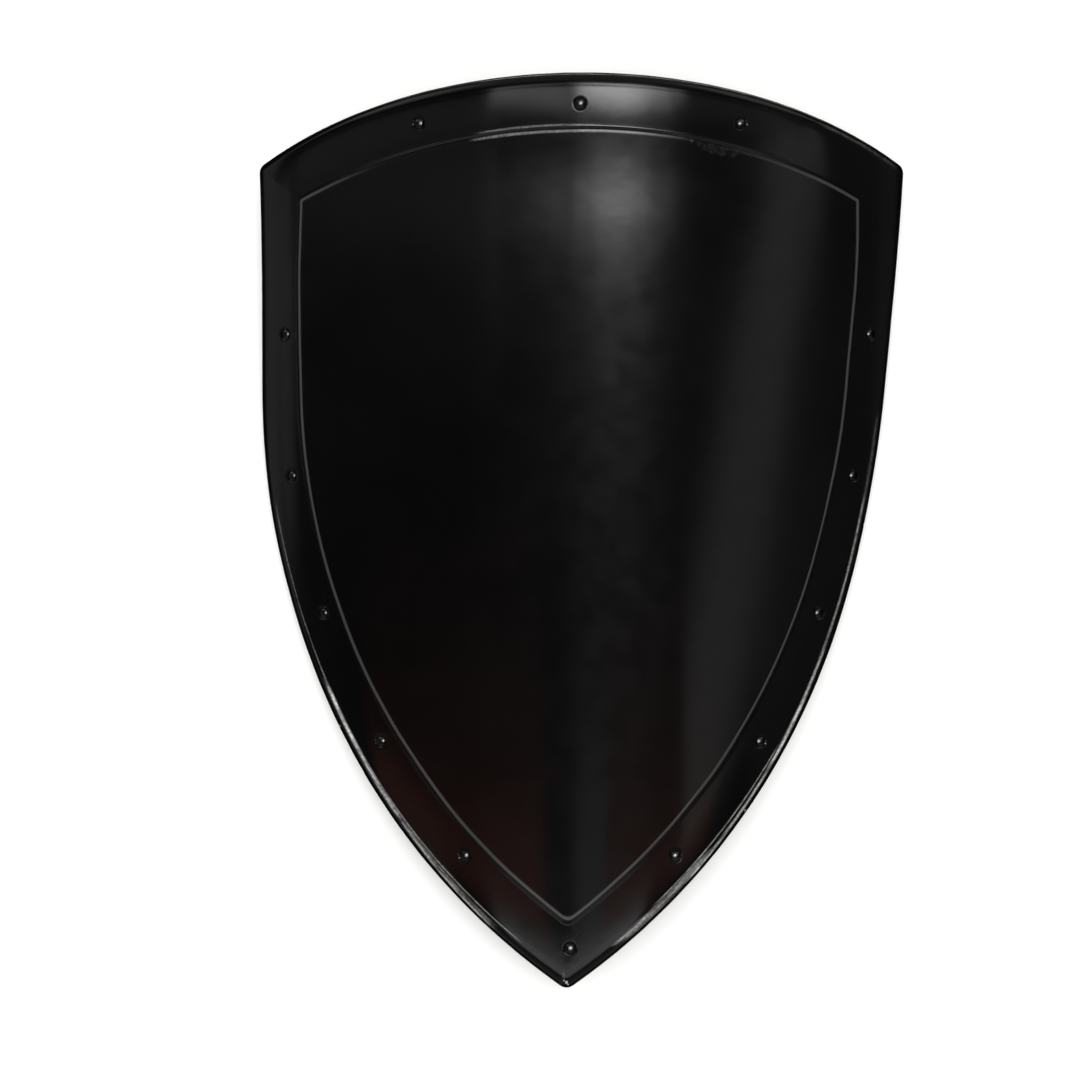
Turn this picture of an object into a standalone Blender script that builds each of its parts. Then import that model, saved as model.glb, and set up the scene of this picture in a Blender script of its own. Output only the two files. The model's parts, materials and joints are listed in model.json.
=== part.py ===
"""Heater shield: one rolled, embossed steel plate and the fourteen rivets through its rim.

The plate is laid out flat (u across, v along, both on the front face), then wrapped on a cylinder.
It lies with its hollow side down, at the pitch and roll in which it balances on its side edges.
"""
import math

import bmesh
import bpy
from mathutils import Matrix, Vector

MM = 0.001

# Driving dimensions, in metres and radians.
SHEET = 1.2 * MM                     # thickness of the steel
BEND_RADIUS = 400 * MM               # radius of the front face across the shield
HALF_WIDTH = 274 * MM                # flat half width where the sides meet the top's level
CROWN = 65 * MM                      # height of the top's crown above the level of the shoulders
TOP_RADIUS = 612 * MM                # radius of the arched top
SIDE_STRAIGHT = 171 * MM             # length of the straight part of each side
SIDE_TAPER = math.radians(3.8)       # how far the straight part leans in
SIDE_RADIUS = 608 * MM               # radius of the long curve down to the tip

# The plate was cut by hand, so its lower part sits to one side of its upper part. Each pair is the
# shift of the outer edge and of the raised field, which doesn't quite follow it.
SHIFT_ABOVE = (2.6 * MM, 0.6 * MM)
SHIFT_BELOW = (-10.7 * MM, -9.3 * MM)
SHIFT_START = 20 * MM                # above the shoulders
SHIFT_LENGTH = 317 * MM              # down from there
FIELD_PINCH = 6.4 * MM               # how much narrower the field starts at its shoulders
PINCH_LENGTH = 100 * MM              # down from the shoulders
TOP_RIM_WIDER = 1.035                # the rim's width along the top, over its width elsewhere

# Rolled edge
LIP_RADIUS = 7.6 * MM
LIP_ANGLE = math.radians(80)
LIP_FLAT = 2.5 * MM
LIP_STEPS = 4

# Rim and raised field
RIM_WIDTH = 32.1 * MM                # from the rolled edge to the foot of the step
STEP_RUN = 5.6 * MM
STEP_RISE = 1.5 * MM
CORNER_RADIUS = 1.5 * MM             # of every ring's corners, before the edge rolls outwards
FIELD_TIP_RADIUS = 7 * MM            # of the raised field's lowest corner
FILLET_REACH = 1.6                   # how far from a corner its directions are taken, in radii

# Rivets
HEAD_RADIUS = 4.0 * MM
HEAD_HEIGHT = 2.3 * MM
SHANK_RADIUS = 2.4 * MM
TAIL_RADIUS = 3.7 * MM
TAIL_HEIGHT = 1.4 * MM
GAP = 0.3 * MM                       # between a rivet and the plate
SAG = 0.3 * MM                       # how far the plate's facets lie inside its true curve
RIVET_INSET_TOP = 16.5 * MM
RIVET_INSET_SIDE = 19.0 * MM
RIVET_INSET_TIP = 19.5 * MM
RIVET_SHIFT_TOP = -1.7 * MM          # the rivets' lines were marked out apart from the edge
RIVET_SHIFT_SIDE = 2.2 * MM
TOP_PITCH = 130.5 * MM               # along the arc between the top's rivets
SIDE_FIRST = 117 * MM                # along the rivets' line, from the shoulder
SIDE_PITCH = 112.5 * MM
SIDE_RIVETS = 5
DRILL_DEPTH = 20 * MM

# Resting pose, hollow side down: turned about X, then about Y
REST_PITCH = math.radians(6.0)
REST_ROLL = math.radians(1.3)

# Resolution
TOP_STEPS = 22
SIDE_STEPS = 24
CORNER_STEPS = 3
RIVET_STEPS = 14


def clear_scene():
    for obj in list(bpy.data.objects):
        bpy.data.objects.remove(obj)


def make_material(name, colour, roughness, metallic):
    mat = bpy.data.materials.new(name)
    mat.use_nodes = True
    shader = mat.node_tree.nodes["Principled BSDF"]
    shader.inputs["Base Color"].default_value = (*colour, 1.0)
    shader.inputs["Roughness"].default_value = roughness
    shader.inputs["Metallic"].default_value = metallic
    return mat


def smooth_step(t):
    t = min(max(t, 0.0), 1.0)
    return t * t * (3.0 - 2.0 * t)


class Outline:
    """The shield's flat outline, moved inwards by inset (outwards if it is negative)."""

    def __init__(self, inset):
        self.inset = inset
        self.top_radius = TOP_RADIUS - inset * TOP_RIM_WIDER
        self.side_radius = SIDE_RADIUS - inset
        self.top_centre = CROWN - TOP_RADIUS
        along = Vector((math.sin(SIDE_TAPER), math.cos(SIDE_TAPER)))
        outward = Vector((math.cos(SIDE_TAPER), -math.sin(SIDE_TAPER)))
        bend = Vector((HALF_WIDTH - SIDE_STRAIGHT * math.tan(SIDE_TAPER), -SIDE_STRAIGHT))
        self.side_centre = bend - SIDE_RADIUS * outward
        self.side_up = along
        start = self.side_centre + self.side_radius * outward
        # the straight side meets the top's arc at the shoulder
        to_start = start - Vector((0.0, self.top_centre))
        half_b = to_start.dot(along)
        rest = to_start.length_squared - self.top_radius ** 2
        self.straight = math.sqrt(half_b ** 2 - rest) - half_b
        self.shoulder = start + self.straight * along
        # the curve meets its mirror image at the tip
        self.tip_angle = math.acos(-self.side_centre.x / self.side_radius)
        self.side_length = self.straight + self.side_radius * (self.tip_angle - SIDE_TAPER)
        self.top_half_angle = math.asin(self.shoulder.x / self.top_radius)

    def top(self, across):
        """A point of the top's arc and its direction outwards; across runs from -1 to 1."""
        angle = across * self.top_half_angle
        normal = Vector((math.sin(angle), math.cos(angle)))
        return Vector((0.0, self.top_centre)) + self.top_radius * normal, normal

    def side(self, length):
        """A point of the right side and its direction outwards, by the length from the shoulder."""
        if length <= self.straight:
            normal = Vector((math.cos(SIDE_TAPER), -math.sin(SIDE_TAPER)))
            return self.shoulder - length * self.side_up, normal
        angle = SIDE_TAPER + (length - self.straight) / self.side_radius
        normal = Vector((math.cos(angle), -math.sin(angle)))
        return self.side_centre + self.side_radius * normal, normal

    def place(self, point):
        """A flat point, moved as the plate's maker cut it."""
        inwards = min(max(self.inset / (RIM_WIDTH + STEP_RUN), 0.0), 1.0)
        above = SHIFT_ABOVE[0] + (SHIFT_ABOVE[1] - SHIFT_ABOVE[0]) * inwards
        below = SHIFT_BELOW[0] + (SHIFT_BELOW[1] - SHIFT_BELOW[0]) * inwards
        shift = above + (below - above) * smooth_step((SHIFT_START - point.y) / SHIFT_LENGTH)
        pinch = FIELD_PINCH * inwards * smooth_step(1 + point.y / PINCH_LENGTH)
        return Vector((point.x * (1 - pinch / HALF_WIDTH) + shift, point.y))


def mirrored(point):
    return Vector((-point.x, point.y))


def round_corner(before, corner, after, radius):
    """Points of a fillet between two straight runs that meet at corner."""
    into = (before - corner).normalized()
    out = (after - corner).normalized()
    half = into.angle(out) / 2
    centre = corner + (into + out).normalized() * radius / math.sin(half)
    first = corner + into * radius / math.tan(half) - centre
    last = corner + out * radius / math.tan(half) - centre
    turn = first.angle(last)
    points = []
    for k in range(CORNER_STEPS + 1):
        t = k / CORNER_STEPS
        blend = math.sin((1 - t) * turn) * first + math.sin(t * turn) * last
        points.append(centre + blend / math.sin(turn))
    return points


def flat_ring(inset):
    """One closed ring as its flat stretches: top, right side, tip and left side, clockwise.

    Each stretch has the same number of points in every ring. A side starts or ends with the
    few points that round its shoulder.
    """
    line = Outline(inset)
    radius = CORNER_RADIUS + max(-inset, 0.0)
    inwards = min(max(inset / RIM_WIDTH, 0.0), 1.0)
    tip_radius = radius + (FIELD_TIP_RADIUS - CORNER_RADIUS) * inwards
    reach = FILLET_REACH * radius / line.side_length
    top = [line.top(2 * k / TOP_STEPS - 1)[0] for k in range(1, TOP_STEPS)]
    down = [line.side(line.side_length * k / SIDE_STEPS)[0] for k in range(1, SIDE_STEPS)]
    before_shoulder = line.top(1 - reach)[0]
    after_shoulder = line.side(line.side_length * reach)[0]
    shoulder = round_corner(before_shoulder, line.shoulder, after_shoulder, radius)
    before_tip = line.side(line.side_length - FILLET_REACH * tip_radius)[0]
    end = line.side(line.side_length)[0]
    tip = round_corner(before_tip, end, mirrored(before_tip), tip_radius)
    right = shoulder + down
    left = [mirrored(point) for point in reversed(right)]
    return [[line.place(point) for point in stretch] for stretch in (top, right, tip, left)]


def wrap(point, height):
    """A flat point laid on the cylinder, height above its surface."""
    angle = point.x / BEND_RADIUS
    radius = BEND_RADIUS + height
    return Vector((radius * math.sin(angle), point.y, radius * math.cos(angle) - BEND_RADIUS))


def profile():
    """Inset and height of every ring, from the free edge to the field."""
    end_inset = -LIP_RADIUS * math.sin(LIP_ANGLE) - LIP_FLAT * math.cos(LIP_ANGLE)
    end_height = -LIP_RADIUS * (1 - math.cos(LIP_ANGLE)) - LIP_FLAT * math.sin(LIP_ANGLE)
    rings = [(end_inset, end_height)]
    for k in range(LIP_STEPS, -1, -1):
        angle = LIP_ANGLE * k / LIP_STEPS
        rings.append((-LIP_RADIUS * math.sin(angle), -LIP_RADIUS * (1 - math.cos(angle))))
    rings.append((RIM_WIDTH / 2, 0.0))
    rings.append((RIM_WIDTH, 0.0))
    for t in (0.3, 0.7, 1.0):
        rise = STEP_RISE * (t - math.sin(2 * math.pi * t) / (2 * math.pi))
        rings.append((RIM_WIDTH + STEP_RUN * t, rise))
    return rings


def add_field(bm, stretches):
    """Fills the innermost ring with rows from its left side to its right side."""
    top, right, tip, left = stretches
    flat_top, flat_right, _, flat_left = flat_ring(RIM_WIDTH + STEP_RUN)
    left = left[::-1]
    flat_left = flat_left[::-1]
    arch = [point.y - flat_right[0].y for point in flat_top]
    upper = [left[0], *top, right[0]]
    for row in range(1, len(right)):
        fade = 1 - row / (len(right) - 1)
        lower = [left[row]]
        for k, rise in enumerate(arch, start=1):
            point = flat_left[row].lerp(flat_right[row], k / TOP_STEPS)
            point.y += rise * fade
            lower.append(bm.verts.new(wrap(point, STEP_RISE)))
        lower.append(right[row])
        for k in range(TOP_STEPS):
            bm.faces.new((upper[k], lower[k], lower[k + 1], upper[k + 1]))
        upper = lower
    # below the last row, a fan of triangles runs to the few points of the tip
    tip = tip[::-1]
    reached = 0
    for k in range(TOP_STEPS):
        wanted = round((len(tip) - 1) * (k + 0.5) / TOP_STEPS)
        while reached < wanted:
            bm.faces.new((upper[k], tip[reached], tip[reached + 1]))
            reached += 1
        bm.faces.new((upper[k], tip[reached], upper[k + 1]))
    while reached < len(tip) - 1:
        bm.faces.new((upper[-1], tip[reached], tip[reached + 1]))
        reached += 1


def plate_skin():
    """The plate's front face as an open sheet."""
    bm = bmesh.new()
    outer = None
    for inset, height in profile():
        flat = flat_ring(inset)
        stretches = [[bm.verts.new(wrap(p, height)) for p in stretch] for stretch in flat]
        inner = [vert for stretch in stretches for vert in stretch]
        if outer is not None:
            for k in range(len(inner)):
                bm.faces.new((outer[k], outer[k - 1], inner[k - 1], inner[k]))
        outer = inner
    add_field(bm, stretches)
    bmesh.ops.recalc_face_normals(bm, faces=bm.faces)
    if sum(f.normal.z * f.calc_area() for f in bm.faces) < 0:
        bmesh.ops.reverse_faces(bm, faces=bm.faces)
    return bm


def add_object(name, bm, mat, parent):
    mesh = bpy.data.meshes.new(name)
    bm.to_mesh(mesh)
    bm.free()
    for face in mesh.polygons:
        face.use_smooth = True
    obj = bpy.data.objects.new(name, mesh)
    bpy.context.scene.collection.objects.link(obj)
    if mat is not None:
        mesh.materials.append(mat)
    obj.parent = parent
    return obj


def rivet_places():
    """Name and place (a matrix, Z out of the front face) of every rivet."""
    places = []
    top = Outline(RIVET_INSET_TOP)
    for name, across in (("left", -TOP_PITCH), ("middle", 0.0), ("right", TOP_PITCH)):
        point = top.top(across / (top.top_radius * top.top_half_angle))[0]
        place = top.place(point) + Vector((RIVET_SHIFT_TOP, 0.0))
        places.append(("rivet_top_" + name, place))
    side = Outline(RIVET_INSET_SIDE)
    for hand, sign in (("left", -1), ("right", 1)):
        for k in range(SIDE_RIVETS):
            point = side.side(SIDE_FIRST + k * SIDE_PITCH)[0]
            point.x *= sign
            place = side.place(point) + Vector((RIVET_SHIFT_SIDE, 0.0))
            places.append((f"rivet_{hand}_{k + 1}", place))
    tip = Outline(RIVET_INSET_TIP)
    place = tip.place(tip.side(tip.side_length)[0]) + Vector((RIVET_SHIFT_SIDE, 0.0))
    places.append(("rivet_tip", place))
    frames = []
    for name, point in places:
        turn = Matrix.Rotation(point.x / BEND_RADIUS, 4, "Y")
        frames.append((name, Matrix.Translation(wrap(point, 0.0)) @ turn))
    return frames


def spin_profile(points, steps):
    """A closed solid of revolution about Z; the first and last points lie on the axis."""
    bm = bmesh.new()
    bottom = bm.verts.new((0.0, 0.0, points[0][1]))
    top = bm.verts.new((0.0, 0.0, points[-1][1]))
    rings = []
    for radius, z in points[1:-1]:
        ring = []
        for k in range(steps):
            angle = 2 * math.pi * k / steps
            ring.append(bm.verts.new((radius * math.cos(angle), radius * math.sin(angle), z)))
        rings.append(ring)
    for k in range(steps):
        n = (k + 1) % steps
        bm.faces.new((bottom, rings[0][n], rings[0][k]))
        bm.faces.new((top, rings[-1][k], rings[-1][n]))
        for low, high in zip(rings, rings[1:]):
            bm.faces.new((low[k], low[n], high[n], high[k]))
    return bm


def rivet_profile():
    back = -SHEET - SAG - GAP
    points = [(0.0, back - TAIL_HEIGHT), (TAIL_RADIUS * 0.8, back - TAIL_HEIGHT)]
    points += [(TAIL_RADIUS, back - TAIL_HEIGHT * 0.4), (TAIL_RADIUS, back), (SHANK_RADIUS, back)]
    points += [(SHANK_RADIUS, GAP), (HEAD_RADIUS, GAP)]
    for degrees in (30, 60):
        angle = math.radians(degrees)
        points.append((HEAD_RADIUS * math.cos(angle), GAP + HEAD_HEIGHT * math.sin(angle)))
    points.append((0.0, GAP + HEAD_HEIGHT))
    return points


def drill_holes(plate, frames, parent):
    """Cuts one hole through the plate for each rivet's shank."""
    bm = bmesh.new()
    for _, frame in frames:
        bmesh.ops.create_cone(
            bm, cap_ends=True, segments=RIVET_STEPS, radius1=SHANK_RADIUS + GAP,
            radius2=SHANK_RADIUS + GAP, depth=DRILL_DEPTH, matrix=frame)
    cutter = add_object("rivet_holes", bm, None, parent)
    cutter.hide_render = True
    cutter.display_type = "WIRE"
    holes = plate.modifiers.new("rivet holes", "BOOLEAN")
    holes.operation = "DIFFERENCE"
    holes.solver = "EXACT"
    holes.object = cutter


def stand_on_origin(base, plate):
    """Moves the parent so that the plate's box stands on the origin, at the middle of its base."""
    graph = bpy.context.evaluated_depsgraph_get()
    shape = plate.evaluated_get(graph)
    points = [shape.matrix_world @ v.co for v in shape.data.vertices]
    low = Vector([min(p[i] for p in points) for i in range(3)])
    high = Vector([max(p[i] for p in points) for i in range(3)])
    base.location -= Vector(((low.x + high.x) / 2, (low.y + high.y) / 2, low.z))


def main():
    clear_scene()
    paint = make_material("black_painted_steel", (0.004, 0.004, 0.004), 0.28, 0.0)
    rivet_steel = make_material("blackened_rivet_steel", (0.01, 0.01, 0.01), 0.25, 0.6)

    base = bpy.data.objects.new("shield_base", None)
    bpy.context.scene.collection.objects.link(base)
    base.rotation_euler = (REST_PITCH, REST_ROLL, 0.0)

    plate = add_object("shield_plate", plate_skin(), paint, base)
    thickness = plate.modifiers.new("sheet thickness", "SOLIDIFY")
    thickness.thickness = SHEET
    thickness.offset = -1.0
    thickness.use_even_offset = True

    frames = rivet_places()
    drill_holes(plate, frames, base)
    for name, frame in frames:
        rivet = add_object(name, spin_profile(rivet_profile(), RIVET_STEPS), rivet_steel, base)
        rivet.matrix_local = frame

    stand_on_origin(base, plate)


main()
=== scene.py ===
"""Heater shield: a black enamelled steel plate with a rolled edge and a raised field, and the
fourteen domed rivets through its rim, lying hollow side down on a plain pale studio floor.

The plate is laid out flat (u across, v along, h out of the front face), then a geometry node tree
rolls it round a cylinder, hammers its edge and lays it down where the frame's plate lies.
"""

import json
import math
from functools import partial

import bmesh
import bpy
import numpy as np
from bpy.props import (
    FloatProperty, FloatVectorProperty, IntProperty, PointerProperty)
from mathutils import Euler, Matrix, Vector


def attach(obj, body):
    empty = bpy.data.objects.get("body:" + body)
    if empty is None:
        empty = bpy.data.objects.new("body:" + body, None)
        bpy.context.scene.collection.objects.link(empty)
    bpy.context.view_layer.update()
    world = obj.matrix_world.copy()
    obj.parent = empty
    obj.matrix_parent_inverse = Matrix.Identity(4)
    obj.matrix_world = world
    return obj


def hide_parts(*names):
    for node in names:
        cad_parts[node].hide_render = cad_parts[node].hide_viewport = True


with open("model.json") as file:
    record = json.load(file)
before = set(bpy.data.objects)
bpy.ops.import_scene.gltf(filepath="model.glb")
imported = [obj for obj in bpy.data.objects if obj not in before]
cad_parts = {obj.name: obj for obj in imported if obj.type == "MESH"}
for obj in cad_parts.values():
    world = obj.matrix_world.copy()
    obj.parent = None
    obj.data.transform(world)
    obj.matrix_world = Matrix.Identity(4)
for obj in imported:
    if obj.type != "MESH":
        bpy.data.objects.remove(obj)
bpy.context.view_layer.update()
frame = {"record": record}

bl_info = {
    "name": "Heater shield",
    "version": (1, 0, 0),
    "blender": (4, 5, 0),
    "location": "3D View > Sidebar > Shield",
    "description": "Builds a rolled and riveted steel heater shield on its studio stage",
    "category": "Add Mesh",
}

MM = 0.001

# The plate was cut by hand, so its lower part sits to one side of its upper part. Each pair is the
# shift of the outer edge and of the raised field, which doesn't quite follow it.
SHIFT_ABOVE = (2.6 * MM, 0.6 * MM)
SHIFT_BELOW = (-10.7 * MM, -9.3 * MM)
SHIFT_START = 20 * MM                # above the shoulders
SHIFT_LENGTH = 317 * MM              # down from there
FIELD_PINCH = 6.4 * MM               # how much narrower the field starts at its shoulders
PINCH_LENGTH = 100 * MM              # down from the shoulders
TOP_RIM_WIDER = 1.035                # the rim's width along the top, over its width elsewhere
STEP_FOOT = 1.3 * MM                 # soft rounding below the step's riser
STEP_RISER = 2.2 * MM                # its steep part
STEP_SOFT_SLOPE = 0.075              # how steep the roundings are where they meet the riser
FILLET_REACH = 1.6                   # how far from a corner its directions are taken, in radii
CORNER_CLEAR = 2 * MM                # from a corner's rounding to the next point of the grid

# Where the field sank a little: how far above the shoulders' line, and how far it spreads
HOLLOW_PLACE = 0.5 * MM
HOLLOW_ALONG = 46.6 * MM
HOLLOW_ACROSS = 150 * MM

# Rivets: their places on lines inside the edge, then what differs from rivet to rivet
RIVET_INSET_TOP = 16.5 * MM
RIVET_INSET_SIDE = 19.0 * MM
RIVET_INSET_TIP = 19.5 * MM
RIVET_SHIFT_TOP = -1.7 * MM          # how far to the right of an even place each one sits
RIVET_SHIFT_SIDE = 2.2 * MM
TOP_PITCH = 130.5 * MM
SIDE_FIRST = 117 * MM                # down the side from the shoulder
SIDE_PITCH = 112.5 * MM
SIDE_RIVETS = 5
GLINT_SIDE = Vector((0.09, 0.08, 1.0))    # which way a dome faces where its glint is painted
GLINT_FACING = (0.94, 0.985)        # cosine to that way where the painted glint starts, and is full
RIVET_LEAN = 0.03                    # the most that a rivet leans each way, as a slope
RIVET_SPREAD = 0.03                  # the most that its size differs, as a share
HEAD_LIFT = 0.15 * MM                # of a dome's edge, above the full depth of its seat
HEAD_SKIRT = 0.4 * MM                # from a dome's edge down to the underside of its head
SHANK_OVER_SHEET = 0.2 * MM          # a shank's length between head and tail, less the sheet
TAIL_BULGE = 1.35                    # a tail's height before its end was struck flat, over after
DOME_FLATS = 0.07 * MM               # depth of the flats that hammer and setting tool left
FLAT_SIZE = 3.125 * MM
TAIL_FACE = 3.2 * MM                 # from the front face to a tail's end, where the mounts sit

# How the plate lies, hollow side down: turned about X, then about Y
REST_PITCH = math.radians(6.0)
REST_ROLL = math.radians(1.3)

# Mesh steps
TOP_STEPS = 120
SIDE_STEPS = 150
CORNER_STEPS = 6
LIP_STEPS = 12
RIM_STEPS = 17
RIM_CROWDING = 1.3                   # more than 1 draws the rim's rings towards its rolled edge
STEP_STEPS = 20
SEAT_STEPS = 32
SEAT_RINGS = (2.7, 3.4, 3.8, 4.1, 4.4, 4.7, 5.0, 5.3, 5.6, 6.1, 7.0)    # radii in mm
SEAT_FLOOR = 3.4 * MM                # radius of a seat's flat floor
SEAT_SPREAD = 1.9 * MM               # how far past the rivet's head its seat reaches
SEAT_CUT = 11.3 * MM                 # the grid is opened this far round a rivet
EDGE_BAND = 0.3 * MM                 # keeps the sheared edge crisp
DOME_SEGMENTS = 40
DOME_RINGS = 24
SHANK_SIDES = 24


def linear(code):
    """A linear colour from an sRGB hex code."""
    channels = [int(code[k:k + 2], 16) / 255 for k in (0, 2, 4)]
    return tuple(c / 12.92 if c <= 0.04045 else ((c + 0.055) / 1.055) ** 2.4 for c in channels)


def length(name, description, millimetres):
    """A property that is a length, with its default in millimetres."""
    return FloatProperty(
        name=name, description=description, default=millimetres * MM, min=0.0,
        unit="LENGTH", precision=5)


def colour(name, description, code):
    """A property that is a colour, with its default as an sRGB hex code."""
    return FloatVectorProperty(
        name=name, description=description, default=linear(code), min=0.0, max=1.0,
        subtype="COLOR", size=3)


def share(name, description, default):
    """A property from 0 to 1."""
    return FloatProperty(
        name=name, description=description, default=default, min=0.0, max=1.0, subtype="FACTOR")


class ShieldSizes(bpy.types.PropertyGroup):
    sheet: length("Sheet", "Thickness of the steel", 1.2)
    bend_radius: length("Bend radius", "Radius of the front face across the shield", 400)
    half_width: length("Half width", "Flat half width at the level of the shoulders", 274)
    crown: length("Crown", "Height of the top's crown above the shoulders' level", 65)
    top_radius: length("Top radius", "Radius of the arched top", 612)
    side_straight: length("Straight side", "Length of the straight part of each side", 171)
    side_taper: FloatProperty(
        name="Side taper", description="How far the straight part leans in",
        default=math.radians(3.8), subtype="ANGLE")
    side_radius: length("Side radius", "Radius of the long curve down to the tip", 608)
    corner_radius: length("Corner radius", "Rounding of every corner", 1.5)
    field_tip_radius: length(
        "Field tip radius", "Rounding of the raised field's lowest corner", 7)
    lip_radius: length("Lip radius", "Radius of the rolled edge", 7.6)
    lip_angle: FloatProperty(
        name="Lip angle", description="How far the edge is rolled over",
        default=math.radians(80), subtype="ANGLE")
    lip_flat: length("Lip flat", "Straight end of the rolled edge", 1.6)
    rim_droop: FloatProperty(
        name="Rim droop", description="How far the rim already leans over where its edge rolls",
        default=math.radians(2.35), subtype="ANGLE")
    droop_width: length("Droop width", "How far into the rim that lean reaches", 31)
    edge_droop: FloatProperty(
        name="Edge droop", description="How much more the rim leans out just before it rolls",
        default=math.radians(2.75), subtype="ANGLE")
    edge_droop_width: length("Edge droop width", "How far into the rim that reaches", 5)
    hollow: length("Hollow", "How far the field sank a little below its top", 0.65)
    rim_width: length("Rim width", "From the rolled edge to the foot of the step", 32.0)
    step_run: length("Step run", "Width of the step up to the raised field", 6.4)
    step_rise: length("Step rise", "Height of the raised field", 1.5)
    hammer_depth: length("Hammer depth", "Depth of the hammer marks along the rolled edge", 0.55)
    hammer_size: length("Hammer size", "Distance between the hammer marks", 13)
    wave_depth: length("Wave depth", "How far the sheet strays from a true cylinder", 0.35)
    wave_size: length("Wave size", "Distance between the sheet's waves", 150)
    seed: IntProperty(name="Seed", description="Changes every hammer mark", default=7, min=0)


class RivetSizes(bpy.types.PropertyGroup):
    head_radius: length("Head radius", "Radius of the domed heads", 4.0)
    head_height: length("Head height", "Height of the domed heads", 2.0)
    shank_radius: length("Shank radius", "Radius of the shanks", 2.4)
    tail_radius: length("Tail radius", "Radius of the hammered tails", 3.7)
    tail_height: length("Tail height", "Height of the hammered tails", 1.4)
    seat_depth: length("Seat depth", "How far setting a rivet sank the plate round it", 0.65)
    seed: IntProperty(name="Seed", description="Changes how each rivet was set", default=3, min=0)


class ShieldFinish(bpy.types.PropertyGroup):
    paint: colour("Paint", "Black enamel of the front", "040404")
    paint_bloom: colour("Paint bloom", "Where the enamel has dulled a little", "070606")
    paint_roughness: share("Paint roughness", "Gloss of the enamel on the front", 0.125)
    # this colour is also used for painted highlights on the rolled edge and the step, beside the
    # scuffs
    scuffs_and_highlights: colour("Scuffs and painted highlights", "Enamel whitened by fine scratches", "C8C7C4")
    # this colour also paints the glint on each rivet dome, beside the real chips
    bare_steel_and_glint: colour("Bare steel and glint", "Steel where the enamel has chipped off", "C9C8C4")
    back_paint: colour("Back paint", "Thinner black of the hollow side", "141415")
    back_dust: colour("Back dust", "Dust in the hollow side's paint", "24221F")
    rivet_steel: colour("Rivet steel", "Oil-blackened steel of the rivets", "5C5A58")
    rivet_soot: colour("Rivet soot", "Where the blacking still lies thick", "302F2F")


class ShieldStage(bpy.types.PropertyGroup):
    floor: colour("Floor", "Pale floor and backdrop", "F4F4F2")
    room: FloatProperty(
        name="Room", description="Strength of the even light from all round", default=1.4, min=0.0)
    lamps: FloatProperty(
        name="Lamps", description="Strength of all the soft boxes together", default=1.0, min=0.0)


def add_node(tree, kind, settings=None, *values, **inputs):
    """Adds a node with its settings, or with its operation where they are only a word.

    The values go to its inputs in order and the others by name, with a _ for each space. A socket
    or a node is linked, a node by its first output, and anything else is set. Inputs and outputs
    that the settings leave unused don't count.
    """
    node = tree.nodes.new(kind)
    if isinstance(settings, str):
        settings = {"operation": settings}
    for name, value in (settings or {}).items():
        setattr(node, name, value)
    used = [socket for socket in node.inputs if socket.enabled]
    named = {socket.name.replace(" ", "_"): socket for socket in used}
    pairs = [*zip(used, values), *((named[name], value) for name, value in inputs.items())]
    for socket, value in pairs:
        if isinstance(value, bpy.types.Node):
            value = next(output for output in value.outputs if output.enabled)
        if isinstance(value, bpy.types.NodeSocket):
            tree.links.new(value, socket)
        else:
            socket.default_value = value
    return node


# Settings that several nodes share
SEEDED = {"noise_dimensions": "4D"}             # noise with the seed as its fourth coordinate
SOFT = {"interpolation_type": "SMOOTHSTEP"}
COLOURS = {"data_type": "RGBA"}
CLAMPED_PRODUCT = {"operation": "MULTIPLY", "use_clamp": True}
CLAMPED_SUM = {"operation": "MULTIPLY_ADD", "use_clamp": True}


def smooth_step(t):
    """0 up to 0, 1 from 1 on, and a soft S between."""
    t = min(max(t, 0.0), 1.0)
    return t * t * (3.0 - 2.0 * t)


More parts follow.
